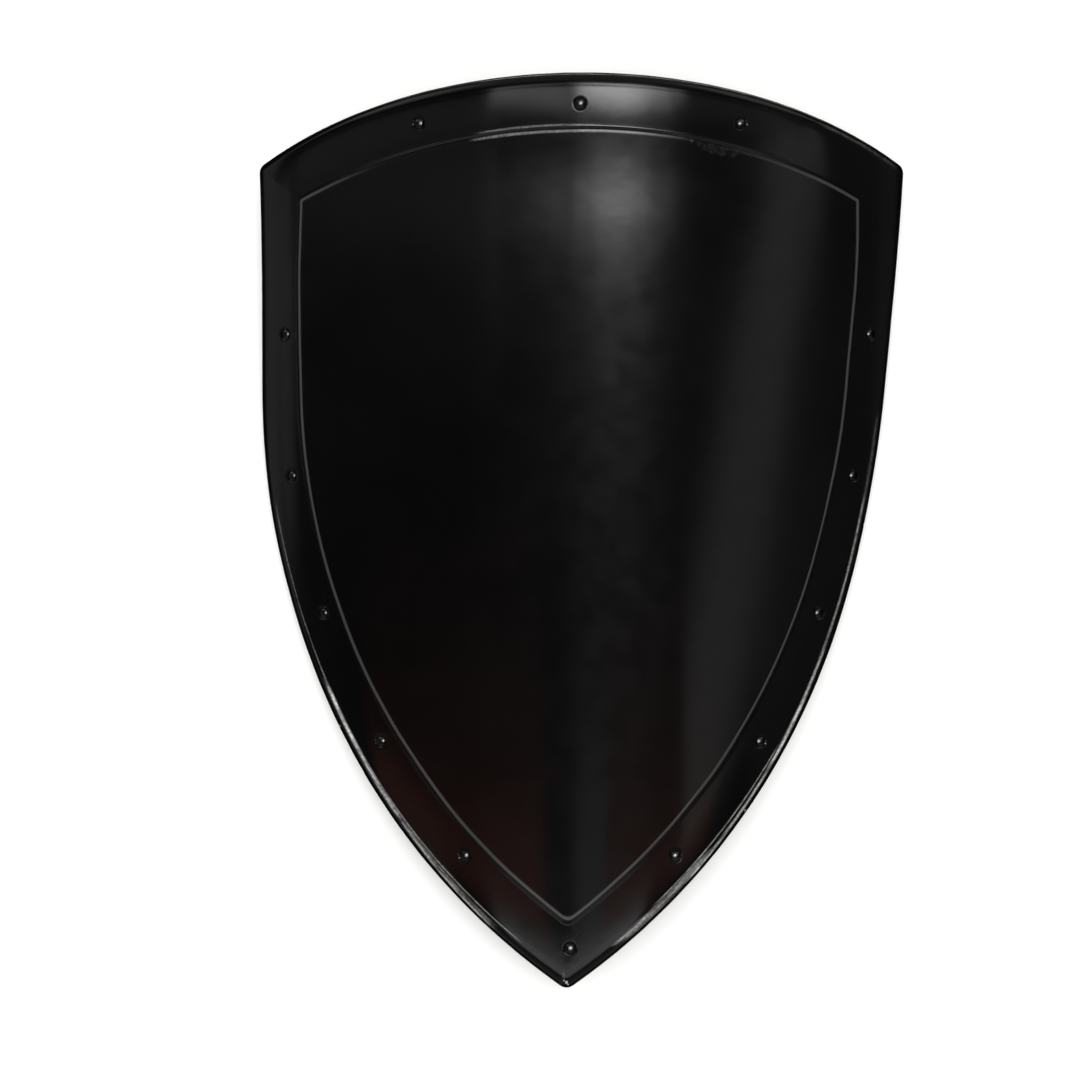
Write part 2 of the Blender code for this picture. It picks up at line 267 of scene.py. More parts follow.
class Outline:
    """The shield's flat outline, moved inwards by inset (outwards if it is negative)."""

    def __init__(self, sizes, inset):
        self.sizes = sizes
        self.inset = inset
        self.top_radius = sizes.top_radius - inset * TOP_RIM_WIDER
        self.side_radius = sizes.side_radius - inset
        self.top_centre = sizes.crown - sizes.top_radius
        taper = sizes.side_taper
        self.side_up = Vector((math.sin(taper), math.cos(taper)))
        self.side_out = Vector((math.cos(taper), -math.sin(taper)))
        bend_across = sizes.half_width - sizes.side_straight * math.tan(taper)
        bend = Vector((bend_across, -sizes.side_straight))
        self.side_centre = bend - sizes.side_radius * self.side_out
        start = self.side_centre + self.side_radius * self.side_out
        # the straight side meets the top's arc at the shoulder
        to_start = start - Vector((0.0, self.top_centre))
        half_b = to_start.dot(self.side_up)
        rest = to_start.length_squared - self.top_radius ** 2
        self.straight = math.sqrt(half_b ** 2 - rest) - half_b
        self.shoulder = start + self.straight * self.side_up
        # the curve meets its mirror image at the tip
        self.tip_angle = math.acos(-self.side_centre.x / self.side_radius)
        self.side_length = self.straight + self.side_radius * (self.tip_angle - taper)
        self.top_half_angle = math.asin(self.shoulder.x / self.top_radius)

    def top(self, across):
        """A point of the top's arc; across runs from -1 to 1."""
        angle = across * self.top_half_angle
        normal = Vector((math.sin(angle), math.cos(angle)))
        return Vector((0.0, self.top_centre)) + self.top_radius * normal

    def side(self, run):
        """A point of the right side, by the length from the shoulder."""
        if run <= self.straight:
            return self.shoulder - run * self.side_up
        angle = self.sizes.side_taper + (run - self.straight) / self.side_radius
        normal = Vector((math.cos(angle), -math.sin(angle)))
        return self.side_centre + self.side_radius * normal

    def place(self, point):
        """A flat point, moved as the plate's maker cut it."""
        sizes = self.sizes
        inwards = min(max(self.inset / (sizes.rim_width + sizes.step_run), 0.0), 1.0)
        above = SHIFT_ABOVE[0] + (SHIFT_ABOVE[1] - SHIFT_ABOVE[0]) * inwards
        below = SHIFT_BELOW[0] + (SHIFT_BELOW[1] - SHIFT_BELOW[0]) * inwards
        shift = above + (below - above) * smooth_step((SHIFT_START - point.y) / SHIFT_LENGTH)
        pinch = FIELD_PINCH * inwards * smooth_step(1 + point.y / PINCH_LENGTH)
        return Vector((point.x * (1 - pinch / sizes.half_width) + shift, point.y))


def mirrored(point):
    """The same point on the other side."""
    return Vector((-point.x, point.y))


def round_corner(before, corner, after, radius):
    """Points of a fillet between two straight runs that meet at corner, and how far it reaches."""
    into = (before - corner).normalized()
    out = (after - corner).normalized()
    half = into.angle(out) / 2
    centre = corner + (into + out).normalized() * radius / math.sin(half)
    first = corner + into * radius / math.tan(half) - centre
    last = corner + out * radius / math.tan(half) - centre
    turn = first.angle(last)
    points = []
    for k in range(CORNER_STEPS + 1):
        t = k / CORNER_STEPS
        ahead = math.sin((1 - t) * turn) * first + math.sin(t * turn) * last
        points.append(centre + ahead / math.sin(turn))
    return points, radius / math.tan(half)


def evenly(start, end, steps):
    """The ends of so many even steps, start and end included."""
    return [start + (end - start) * k / steps for k in range(steps + 1)]


def flat_ring(sizes, inset):
    """One closed ring as its flat stretches: top, right side, tip and left side, clockwise.

    Each point comes with its distance along the outline from the crown, negative on the left.
    """
    line = Outline(sizes, inset)
    radius = sizes.corner_radius + max(-inset, 0.0)
    inwards = min(max(inset / sizes.rim_width, 0.0), 1.0)
    tip_radius = radius + (sizes.field_tip_radius - sizes.corner_radius) * inwards
    top_half = line.top_radius * line.top_half_angle
    reach = FILLET_REACH * radius / line.side_length
    before_shoulder = line.top(1 - reach)
    after_shoulder = line.side(line.side_length * reach)
    shoulder, used_above = round_corner(before_shoulder, line.shoulder, after_shoulder, radius)
    before_tip = line.side(line.side_length - FILLET_REACH * tip_radius)
    end = line.side(line.side_length)
    tip, used_below = round_corner(before_tip, end, mirrored(before_tip), tip_radius)
    clear = 1 - (used_above + CORNER_CLEAR) / top_half
    top = [(line.top(across), across * top_half) for across in evenly(-clear, clear, TOP_STEPS)]
    runs = evenly(used_above + CORNER_CLEAR, line.side_length - used_below - CORNER_CLEAR,
                  SIDE_STEPS)
    right = [(point, top_half) for point in shoulder]
    right += [(line.side(run), top_half + run) for run in runs]
    tip = [(point, top_half + line.side_length) for point in tip]
    left = [(mirrored(point), -along) for point, along in reversed(right)]
    return [[(line.place(point), along) for point, along in stretch]
            for stretch in (top, right, tip, left)]


def wrap(sizes, point, height):
    """A flat point laid on the cylinder, height above its surface, in the shield's own frame."""
    angle = point.x / sizes.bend_radius
    radius = sizes.bend_radius + height
    return Vector((radius * math.sin(angle), point.y,
                   radius * math.cos(angle) - sizes.bend_radius))


def drooped(angle, start, width, inset):
    """How far a lean of that angle at start has lowered a place, when it fades over width."""
    share_leaned = min(max((width - inset) / (width - start), 0.0), 1.0)
    return (width - start) * math.tan(angle) / 2 * share_leaned ** 2


def lip_start(sizes):
    """Inset and slope of the rim where its edge starts to roll."""
    slope = sizes.rim_droop + sizes.edge_droop
    return sizes.lip_radius * math.sin(slope), slope


def rim_height(sizes, inset):
    """How far the rim has drooped there; it leans more and more towards its rolled edge."""
    start = lip_start(sizes)[0]
    return -(drooped(sizes.rim_droop, start, sizes.droop_width, inset)
             + drooped(sizes.edge_droop, start, sizes.edge_droop_width, inset))


def lip_point(sizes, angle):
    """Inset and height on the rolled edge, where its face has turned by that angle."""
    level = rim_height(sizes, 0.0)
    radius = sizes.lip_radius
    fallen = radius * (math.cos(lip_start(sizes)[1]) - math.cos(angle))
    return -radius * math.sin(angle), level - fallen


def soft_share(sizes, run):
    """The slope of the step's roundings there, as a share of what it is beside the riser."""
    left = sizes.step_run - run
    return min(run / STEP_FOOT, left / (sizes.step_run - STEP_FOOT - STEP_RISER), 1.0)


def section(sizes):
    """Inset, height, rolled share and distance outwards of every ring, from the free edge in."""
    end_inset, end_height = lip_point(sizes, sizes.lip_angle)
    along = Vector((-math.cos(sizes.lip_angle), -math.sin(sizes.lip_angle)))
    arc = sizes.lip_radius * sizes.lip_angle
    rings = []
    for run in (sizes.lip_flat, sizes.lip_flat - EDGE_BAND, sizes.lip_flat / 2):
        rings.append((end_inset + run * along.x, end_height + run * along.y, 1.0, arc + run))
    start, slope = lip_start(sizes)
    for k in range(LIP_STEPS, -1, -1):
        angle = slope + (sizes.lip_angle - slope) * k / LIP_STEPS
        rings.append((*lip_point(sizes, angle), k / LIP_STEPS, sizes.lip_radius * angle))
    for k in range(1, RIM_STEPS + 1):
        inset = start + (sizes.rim_width - start) * (k / RIM_STEPS) ** RIM_CROWDING
        rings.append((inset, rim_height(sizes, inset), 0.0, -inset))
    step = sizes.step_run / STEP_STEPS
    soft = [step * soft_share(sizes, (k + 0.5) * step) for k in range(STEP_STEPS)]
    steep = sizes.step_rise - STEP_SOFT_SLOPE * sum(soft)
    for k in range(1, STEP_STEPS + 1):
        risen = steep * smooth_step((k * step - STEP_FOOT) / STEP_RISER)
        risen += STEP_SOFT_SLOPE * sum(soft[:k])
        inset = sizes.rim_width + k * step
        rings.append((inset, risen, 0.0, -inset))
    return rings


def set_down(name, data):
    """A new object of that mesh, lamp or camera in the scene."""
    obj = bpy.data.objects.new(name, data)
    bpy.context.scene.collection.objects.link(obj)
    return obj


def smooth_mesh(bm, name):
    """A mesh of bm, shaded smooth; bm is given up."""
    mesh = bpy.data.meshes.new(name)
    bm.to_mesh(mesh)
    bm.free()
    for face in mesh.polygons:
        face.use_smooth = True
    return mesh


def join_rings(bm, first, second):
    """Quads between two closed rings of as many vertices."""
    for k in range(len(first)):
        bm.faces.new((first[k], first[k - 1], second[k - 1], second[k]))


def add_field(bm, sizes, stretches):
    """Fills the innermost ring with rows from its left side to its right side."""
    edge = bm.verts.layers.float_vector["edge_place"]
    top, right, tip, left = stretches
    left = left[::-1]
    columns = len(top) + 1
    arch = [vert.co.y - right[0].co.y for vert in top]
    spread = [(vert.co.x - left[0].co.x) / (right[0].co.x - left[0].co.x) for vert in top]
    upper = [left[0], *top, right[0]]
    for row in range(1, len(right)):
        fade = smooth_step(1 - row / (len(right) - 1))
        lower = [left[row]]
        for share_across, rise in zip(spread, arch):
            point = left[row].co.lerp(right[row].co, share_across)
            point.y += rise * fade
            lower.append(bm.verts.new(point))
            lower[-1][edge] = (0.0, -1.0, 0.0)
        lower.append(right[row])
        for k in range(columns):
            bm.faces.new((upper[k], lower[k], lower[k + 1], upper[k + 1]))
        upper = lower
    # below the last row, a fan of triangles runs to the few points of the tip
    tip = tip[::-1]
    reached = 0
    for k in range(columns):
        wanted = round((len(tip) - 1) * (k + 0.5) / columns)
        while reached < wanted:
            bm.faces.new((upper[k], tip[reached], tip[reached + 1]))
            reached += 1
        bm.faces.new((upper[k], tip[reached], upper[k + 1]))
    while reached < len(tip) - 1:
        bm.faces.new((upper[-1], tip[reached], tip[reached + 1]))
        reached += 1


def rivet_points(sizes):
    """The flat place of every rivet, by its frame node's name."""
    points = {}
    top = Outline(sizes, RIVET_INSET_TOP)
    for name, across in (("left", -TOP_PITCH), ("middle", 0.0), ("right", TOP_PITCH)):
        point = top.top(across / (top.top_radius * top.top_half_angle))
        points["rivet_top_" + name] = top.place(point) + Vector((RIVET_SHIFT_TOP, 0.0))
    side = Outline(sizes, RIVET_INSET_SIDE)
    for hand, sign in (("left", -1), ("right", 1)):
        for k in range(SIDE_RIVETS):
            point = side.side(SIDE_FIRST + k * SIDE_PITCH)
            point.x *= sign
            place = side.place(point) + Vector((RIVET_SHIFT_SIDE, 0.0))
            points[f"rivet_{hand}_{k + 1}"] = place
    tip = Outline(sizes, RIVET_INSET_TIP)
    place = tip.place(tip.side(tip.side_length)) + Vector((RIVET_SHIFT_SIDE, 0.0))
    points["rivet_tip"] = place
    return points


def sink_seat(bm, sizes, rivets, centre):
    """Opens the grid round a rivet and fills it with rings that sink towards its hole."""
    edge = bm.verts.layers.float_vector["edge_place"]
    near = [f for f in bm.faces if (f.calc_center_median().xy - centre).length < SEAT_CUT]
    gone = set(near)
    border = [e for f in near for e in f.edges
              if any(other not in gone for other in e.link_faces)]
    # how the inset changes across the seat, from the opening's edge
    ends = list(dict.fromkeys(v for e in border for v in e.verts))
    slopes = np.linalg.lstsq(np.array([(v.co.x, v.co.y, 1.0) for v in ends]),
                             np.array([-v[edge].y for v in ends]), rcond=None)[0]
    bmesh.ops.delete(bm, geom=near, context="FACES")
    outer = rivets.head_radius + SEAT_SPREAD
    inner = []
    for radius in (r * MM for r in SEAT_RINGS):
        rising = (radius - SEAT_FLOOR) / (outer - SEAT_FLOOR)
        sunk = rivets.seat_depth * (1 - smooth_step(rising))
        ring = []
        for k in range(SEAT_STEPS):
            angle = 2 * math.pi * k / SEAT_STEPS
            place = centre + radius * Vector((math.cos(angle), math.sin(angle)))
            level = rim_height(sizes, slopes @ (place.x, place.y, 1.0))
            ring.append(bm.verts.new((*place, level - sunk)))
            ring[-1][edge] = (0.0, -1.0, 0.0)
        if inner:
            join_rings(bm, ring, inner)
        inner = ring
    rim = [e for v in inner for e in v.link_edges if all(end in inner for end in e.verts)]
    loops = list(dict.fromkeys(border + rim))
    bmesh.ops.triangle_fill(bm, use_beauty=True, edges=loops, normal=(0.0, 0.0, 1.0))


def flat_sheet(sizes, rivets):
    """The plate's front face before it is rolled, as a mesh in (u, v, h).

    "rolled_edge" runs from 0 where the edge starts to roll to 1 at its end. "edge_place" holds
    the distance along the outline from the crown, and the distance outwards from that start.
    """
    bm = bmesh.new()
    rolled = bm.verts.layers.float.new("rolled_edge")
    edge = bm.verts.layers.float_vector.new("edge_place")
    outer = []
    for inset, height, share_rolled, outwards in section(sizes):
        stretches = []
        for stretch in flat_ring(sizes, inset):
            verts = []
            for point, along in stretch:
                verts.append(bm.verts.new((*point, height)))
                verts[-1][rolled] = share_rolled
                verts[-1][edge] = (along, outwards, 0.0)
            stretches.append(verts)
        inner = [vert for stretch in stretches for vert in stretch]
        if outer:
            join_rings(bm, outer, inner)
        outer = inner
    add_field(bm, sizes, stretches)
    for centre in rivet_points(sizes).values():
        sink_seat(bm, sizes, rivets, centre)
    for vert in bm.verts:
        far = (vert.co.x / HOLLOW_ACROSS) ** 2 + ((vert.co.y - HOLLOW_PLACE) / HOLLOW_ALONG) ** 2
        vert.co.z -= sizes.hollow * math.exp(-far)
    bmesh.ops.recalc_face_normals(bm, faces=bm.faces)
    if sum(f.normal.z * f.calc_area() for f in bm.faces) < 0:
        bmesh.ops.reverse_faces(bm, faces=bm.faces)
    return smooth_mesh(bm, "flat_sheet")


def laid_down(sizes):
    """The matrix from the shield's own frame to where the frame's plate lies.

    The hanging mount sits on the tail of the rivet at the middle of the top.
    """
    seat = next(m for m in frame["record"]["mounts"] if m["name"] == "hanging_seat")
    point = rivet_points(sizes)["rivet_top_middle"]
    turn = Euler((REST_PITCH, REST_ROLL, 0.0)).to_matrix()
    tail = wrap(sizes, point, -TAIL_FACE)
    return Matrix.Translation(Vector(seat["pos_m"]) - turn @ tail) @ turn.to_4x4()


def open_tree(name, sockets):
    """A geometry node tree with those named inputs: itself, its inputs and its adder of nodes."""
    tree = bpy.data.node_groups.new(name, "GeometryNodeTree")
    tree.interface.new_socket("Geometry", in_out="OUTPUT", socket_type="NodeSocketGeometry")
    for label, kind in {"Geometry": "Geometry", **sockets}.items():
        tree.interface.new_socket(label, in_out="INPUT", socket_type="NodeSocket" + kind)
    return tree, tree.nodes.new("NodeGroupInput").outputs, partial(add_node, tree)


def run_tree(obj, tree, values):
    """Gives obj the tree as its first modifier, with those values on its named inputs."""
    modifier = obj.modifiers.new(tree.name, "NODES")
    modifier.node_group = tree
    for socket in tree.interface.items_tree:
        if socket.in_out == "INPUT" and socket.name in values:
            modifier[socket.identifier] = values[socket.name]


def settle(obj):
    """Replaces obj's mesh by its evaluated one and removes its modifiers."""
    graph = bpy.context.evaluated_depsgraph_get()
    mesh = bpy.data.meshes.new_from_object(obj.evaluated_get(graph), depsgraph=graph)
    obj.modifiers.clear()
    obj.data = mesh
    mesh.name = obj.name


def roll_tree():
    """Rolls a flat sheet round a cylinder, strays a little from it, and hammers its edge."""
    tree, given, add = open_tree("roll_sheet", {
        "Bend Radius": "Float", "Hammer Depth": "Float", "Hammer Size": "Float",
        "Wave Depth": "Float", "Wave Size": "Float", "Seed": "Int",
        "Location": "Vector", "Rotation": "Rotation", "Material": "Material"})
    place = add("GeometryNodeInputPosition")
    flat = add("ShaderNodeSeparateXYZ", None, place).outputs
    one_over = add("ShaderNodeMath", "DIVIDE", 1.0, given["Wave Size"])
    wave = add("ShaderNodeTexNoise", SEEDED, place, W=given["Seed"], Scale=one_over, Detail=1.0)
    wave = add("ShaderNodeMath", "SUBTRACT", wave, 0.5)
    height = add("ShaderNodeMath", "MULTIPLY_ADD", wave, given["Wave Depth"], flat["Z"])
    radius = add("ShaderNodeMath", "ADD", given["Bend Radius"], height)
    angle = add("ShaderNodeMath", "DIVIDE", flat["X"], given["Bend Radius"])
    across = add("ShaderNodeMath", "MULTIPLY", radius, add("ShaderNodeMath", "SINE", angle))
    up = add("ShaderNodeMath", "MULTIPLY", radius, add("ShaderNodeMath", "COSINE", angle))
    up = add("ShaderNodeMath", "SUBTRACT", up, given["Bend Radius"])
    curved = add("ShaderNodeCombineXYZ", None, across, flat["Y"], up)
    rolled = add("GeometryNodeSetPosition", None, given["Geometry"], Position=curved)

    one_over = add("ShaderNodeMath", "DIVIDE", 1.0, given["Hammer Size"])
    marks = add("ShaderNodeTexNoise", SEEDED, place, W=given["Seed"], Scale=one_over, Detail=2.0)
    edge = add("GeometryNodeInputNamedAttribute", {"data_type": "FLOAT"}, "rolled_edge")
    deep = add("ShaderNodeMath", "MULTIPLY", marks, edge)
    deep = add("ShaderNodeMath", "MULTIPLY", deep, given["Hammer Depth"])
    deep = add("ShaderNodeMath", "MULTIPLY", deep, -1.0)
    dent = add("ShaderNodeVectorMath", "SCALE", add("GeometryNodeInputNormal"), Scale=deep)
    hammered = add("GeometryNodeSetPosition", None, rolled, Offset=dent)
    laid = add("GeometryNodeTransform", None, hammered, Translation=given["Location"],
               Rotation=given["Rotation"])
    real = add("GeometryNodeRealizeInstances", None, laid)
    painted = add("GeometryNodeSetMaterial", None, real, Material=given["Material"])
    add("NodeGroupOutput", None, painted)
    return tree


def rivet_tree():
    """Sets a rivet on every vertex, along its "outward" direction, each a little differently."""
    tree, given, add = open_tree("set_rivets", {
        "Head Radius": "Float", "Head Height": "Float", "Skirt": "Float",
        "Shank Radius": "Float", "Back": "Float", "Tail Radius": "Float",
        "Tail Height": "Float", "Glint Side": "Vector", "Seed": "Int",
        "Material": "Material"})
    place = add("GeometryNodeInputPosition")
    point = add("ShaderNodeSeparateXYZ", None, place).outputs

    # head: a low dome over a short skirt that reaches down into its seat
    ball = add("GeometryNodeMeshUVSphere", Segments=DOME_SEGMENTS, Rings=DOME_RINGS,
               Radius=1.0)
    size = add("ShaderNodeCombineXYZ", None, given["Head Radius"], given["Head Radius"],
               given["Head Height"])
    dome = add("GeometryNodeTransform", None, ball, Scale=size)
    low = add("ShaderNodeMath", "MULTIPLY", given["Skirt"], -1.0)
    level = add("ShaderNodeMath", "MAXIMUM", point["Z"], low)
    flat = add("ShaderNodeCombineXYZ", None, point["X"], point["Y"], level)
    head = add("GeometryNodeSetPosition", None, dome, Position=flat)

    # tail: peened over against the back, flat at its end
    size = add("ShaderNodeCombineXYZ", None, given["Tail Radius"], given["Tail Radius"],
               given["Tail Height"])
    size = add("ShaderNodeVectorMath", "MULTIPLY", size, (1.0, 1.0, TAIL_BULGE))
    knob = add("GeometryNodeTransform", None, ball, Scale=size)
    end = add("ShaderNodeMath", "MULTIPLY", given["Tail Height"], -1.0)
    level = add("ShaderNodeClamp", None, point["Z"], end, 0.0)
    flat = add("ShaderNodeCombineXYZ", None, point["X"], point["Y"], level)
    knob = add("GeometryNodeSetPosition", None, knob, Position=flat)
    behind = add("ShaderNodeMath", "MULTIPLY", given["Back"], -1.0)
    behind = add("ShaderNodeCombineXYZ", Z=behind)
    tail = add("GeometryNodeTransform", None, knob, Translation=behind)

    # shank: through the plate, into both
    shank = add("GeometryNodeMeshCylinder", {"fill_type": "NGON"}, Vertices=SHANK_SIDES,
                Radius=given["Shank Radius"], Depth=given["Back"])
    middle = add("ShaderNodeVectorMath", "SCALE", behind, Scale=0.5)
    shank = add("GeometryNodeTransform", None, shank, Translation=middle)

    whole = add("GeometryNodeJoinGeometry")
    for part in (head, tail, shank):
        tree.links.new(part.outputs[0], whole.inputs[0])
    outward = add("GeometryNodeInputNamedAttribute", {"data_type": "FLOAT_VECTOR"}, "outward")
    tilt = add("FunctionNodeRandomValue", {"data_type": "FLOAT_VECTOR"}, (-RIVET_LEAN,) * 3,
               (RIVET_LEAN,) * 3, Seed=given["Seed"])
    lean = add("ShaderNodeVectorMath", "ADD", outward, tilt)
    aim = add("FunctionNodeAlignRotationToVector", {"axis": "Z"}, Vector=lean)
    grow = add("FunctionNodeRandomValue", {"data_type": "FLOAT"}, 1 - RIVET_SPREAD,
               1 + RIVET_SPREAD, Seed=given["Seed"])
    placed = add("GeometryNodeInstanceOnPoints", None, given["Geometry"], Instance=whole,
                 Rotation=aim, Scale=grow)
    real = add("GeometryNodeRealizeInstances", None, placed)

    # every surface keeps the faint flats of the hammer and the setting tool
    marks = add("ShaderNodeTexNoise", SEEDED, place, W=given["Seed"], Scale=1 / FLAT_SIZE,
                Detail=1.0)
    deep = add("ShaderNodeMath", "MULTIPLY", marks, -DOME_FLATS)
    outwards = add("GeometryNodeInputNormal")
    dent = add("ShaderNodeVectorMath", "SCALE", outwards, Scale=deep)
    struck = add("GeometryNodeSetPosition", None, real, Offset=dent)
    smooth = add("GeometryNodeSetShadeSmooth", None, struck)
    # a painted glint: the side of each dome that faces one way is marked for bright steel colour
    facing = add("ShaderNodeVectorMath", "DOT_PRODUCT", outwards, given["Glint Side"])
    rubbed = add("ShaderNodeMapRange", SOFT, facing, *GLINT_FACING)
    kept = add("GeometryNodeStoreNamedAttribute", {"data_type": "FLOAT", "domain": "POINT"},
               smooth, Name="rubbed", Value=rubbed)
    painted = add("GeometryNodeSetMaterial", None, kept, Material=given["Material"])
    add("NodeGroupOutput", None, painted)
    return tree


def new_material(name):
    """An empty material, and its adder of nodes."""
    mat = bpy.data.materials.new(name)
    mat.use_nodes = True
    mat.node_tree.nodes.clear()
    return mat, partial(add_node, mat.node_tree)


def tinted(add, base, layers):
    """The base colour under layers, each a (cover from 0 to 1, colour)."""
    base = (*base, 1.0)
    for cover, tint in layers:
        base = add("ShaderNodeMix", COLOURS, cover, base, (*tint, 1.0))
    return base


def surfaced(mat, add, rise, **shading):
    """The material with that shading, on a surface that rises by that many millimetres."""
    bump = add("ShaderNodeBump", Strength=1.0, Distance=MM, Height=rise)
    surface = add("ShaderNodeBsdfPrincipled", Normal=bump, **shading)
    add("ShaderNodeOutputMaterial", Surface=surface)
    return mat


# Sizes of the patterns in the finishes, from one patch to the next
SPRAY_CLOUDS = 18.18 * MM            # the enamel's heavier and lighter passes
DULLED_PATCHES = 111.1 * MM
PEEL = 2.381 * MM
CHIP_EDGES = 1.111 * MM
SCRATCH_LENGTH = 16.67 * MM          # along the rolled edge
SCRATCH_SPACING = 1.111 * MM         # across it, coarser than real ones, which wouldn't show
SCRATCH_MOTTLE = 2.222 * MM
ROLLED_ROUGHNESS = 5.263 * MM
DENT_LUMPS = 3.846 * MM
DUST_PATCHES = 71.43 * MM
DRY_SPRAY = 1.429 * MM
BLACKING_PATCHES = 3.846 * MM
PAPER_FIBRES = 16.67 * MM            # far coarser than real ones, which would be too fine to show

# Heights of the finishes' bumps, in mm
CLOUD_RISE = 0.03
PEEL_RISE = 0.0025
ROLLED_RISE = 0.25
DRY_SPRAY_RISE = 0.02
BLACKING_RISE = 0.012

# Roughness: from the lowest to the highest place of a pattern, or how much a mark adds to it: wear,
# and the painted highlights and glints too
CLOUD_ROUGHNESS = (-0.011, 0.014)    # beside the enamel's own
ROLLED_ROUGHER = 0.2
SCUFF_AND_HIGHLIGHT_ROUGHER = 0.3
RUBBED_ROUGHER = 0.5
BACK_ROUGHNESS = (0.4, 0.58)
BLACKING_ROUGHNESS = (0.17, 0.13)
BRIGHT_ROUGHER = 0.12
PAPER_ROUGHNESS = (0.85, 0.95)

# Where a pattern's noise starts to count and where it counts in full
NOISE_SPAN = (0.3, 0.7)              # nearly all of its values
DULLED = (0.35, 0.7)
DUSTED = (0.42, 0.75)
BLACKING_WORN = (0.35, 0.55)
SCRATCHED = (0.35, 0.6, 0.3, 1.0)    # then how much it leaves of a scuff at each
MOTTLED = (0.38, 0.6, 0.45, 1.1)

CHIP_METAL = 0.5                     # a chip's steel is half covered by what is left of its primer
DENT_FLOOR = 0.3                     # a dent's full depth reaches this far out, in its radii
SPOT_EDGE = (1.25, 1.45)             # where a ragged spot fades out, in radii with its raggedness

# A painted highlight: a grey line along the step's upper edge stands in for the light caught by its
# bend, but not along the middle of the top
RIDGE_INSET = 35 * MM
RIDGE_STRAYS = 4 * MM                # how far it strays further in
RIDGE_HALF_WIDTH = 2 * MM
RIDGE_GREY = 0.058
RIDGE_LEFT = (-160 * MM, -240 * MM)  # along the outline from the crown: where it starts, and is full
RIDGE_RIGHT = (80 * MM, 250 * MM)

# Whitened streaks, partly scuffs and partly painted highlights that stand in for light reflected by
# the rolled edge and by the step along the top, in mm: distances along the outline from the crown
# where a streak starts and ends, negative on the left; how far outwards it lies from where the edge
# starts to roll, at each end; its half width; and its strength.
SCUFF_AND_HIGHLIGHT_STREAKS = (
    (-676, -708, -2.2, -2.0, 1.0, 0.30),
    (-690, -765, -1.8, -0.9, 2.3, 0.95),
    (-745, -830, -1.4, 0.6, 2.3, 0.62),
    (-820, -885, 0.3, 2.4, 1.8, 0.50),
    (-870, -950, 2.0, 4.4, 1.7, 0.50),
    (-740, -960, -2.1, -1.9, 0.9, 0.32),
    (-800, -945, -1.0, 2.0, 2.2, 0.16),
    (-540, -705, -2.2, -2.2, 1.0, 0.16),
    (470, 600, -1.5, -1.5, 2.4, 0.06),
    (530, 690, -2.0, -1.3, 1.8, 0.32),
    (660, 760, -1.2, 0.2, 1.9, 0.60),
    (700, 785, -0.2, 1.0, 1.9, 0.85),
    (770, 850, 1.1, 1.9, 1.6, 0.62),
    (835, 900, 1.9, 3.9, 1.7, 0.62),
    (745, 915, -2.1, -1.9, 0.9, 0.40),
    (850, 965, 0.2, 2.5, 3.6, 0.34),
    (915, 966, 0.2, 1.8, 2.6, 0.50),
    (-270, -60, 7.2, 7.2, 1.1, 0.10),
    (-90, 270, 7.2, 7.2, 1.3, 0.32),
    (192, 284, 2.4, 1.4, 2.4, 0.06),
    (-88, 20, -32.4, -32.4, 1.3, 0.24),
    (-92, 20, -37.1, -37.1, 1.5, 0.32),
)
STREAK_ENDS = 18                      # mm over which a streak fades out at each end,
STREAK_FADE_MOST = 0.3                # but no more than this much of its length


def scuff_and_highlight_streaks(add, along, outwards):
    """Whitening, 0 to 1: soft-ended streaks, part scuffs and part painted highlights."""
    most = 0.0
    for start, end, out_start, out_end, width, strength in SCUFF_AND_HIGHLIGHT_STREAKS:
        t = add("ShaderNodeMapRange", {"clamp": False}, along, start * MM, end * MM)
        line = add("ShaderNodeMath", "MULTIPLY_ADD", t, (out_end - out_start) * MM,
                   out_start * MM)
        away = add("ShaderNodeMath", "SUBTRACT", outwards, line)
        away = add("ShaderNodeMath", "ABSOLUTE", away)
        band = add("ShaderNodeMapRange", SOFT, away, 0.0, width * MM, strength, 0.0)
        away = add("ShaderNodeMath", "ABSOLUTE", add("ShaderNodeMath", "SUBTRACT", t, 0.5))
        fade = min(STREAK_ENDS / abs(end - start), STREAK_FADE_MOST)
        ends = add("ShaderNodeMapRange", SOFT, away, 0.5 - fade, 0.5, 1.0, 0.0)
        streak = add("ShaderNodeMath", "MULTIPLY", band, ends)
        most = add("ShaderNodeMath", "MAXIMUM", most, streak)
    return most


def painted_ridge_highlight(add, along, outwards, drift):
    """Painted highlight as a grey line on the step's ridge, 0 to 1: down the sides and at the top's
    ends.
    """
    strays = add("ShaderNodeMath", "MULTIPLY_ADD", drift, RIDGE_STRAYS, RIDGE_INSET)
    away = add("ShaderNodeMath", "ADD", outwards, strays)
    away = add("ShaderNodeMath", "ABSOLUTE", away)
    line = add("ShaderNodeMapRange", SOFT, away, 0.0, RIDGE_HALF_WIDTH, 1.0, 0.0)
    left = add("ShaderNodeMapRange", SOFT, along, *RIDGE_LEFT, 0.0, RIDGE_GREY)
    right = add("ShaderNodeMapRange", SOFT, along, *RIDGE_RIGHT, 0.0, RIDGE_GREY)
    ends = add("ShaderNodeMath", "ADD", left, right)
    return add("ShaderNodeMath", "MULTIPLY", line, ends)


def ragged_spots(add, place, ragged, spots):
    """1 inside any of those (centre, radius) spots and 0 outside, with ragged edges."""
    most = 0.0
    for centre, radius in spots:
        away = add("ShaderNodeVectorMath", "DISTANCE", place, centre)
        far = add("ShaderNodeMath", "DIVIDE", away, radius)
        far = add("ShaderNodeMath", "ADD", far, ragged)
        spot = add("ShaderNodeMapRange", None, far, *SPOT_EDGE, 1.0, 0.0)
        most = add("ShaderNodeMath", "MAXIMUM", most, spot)
    return most


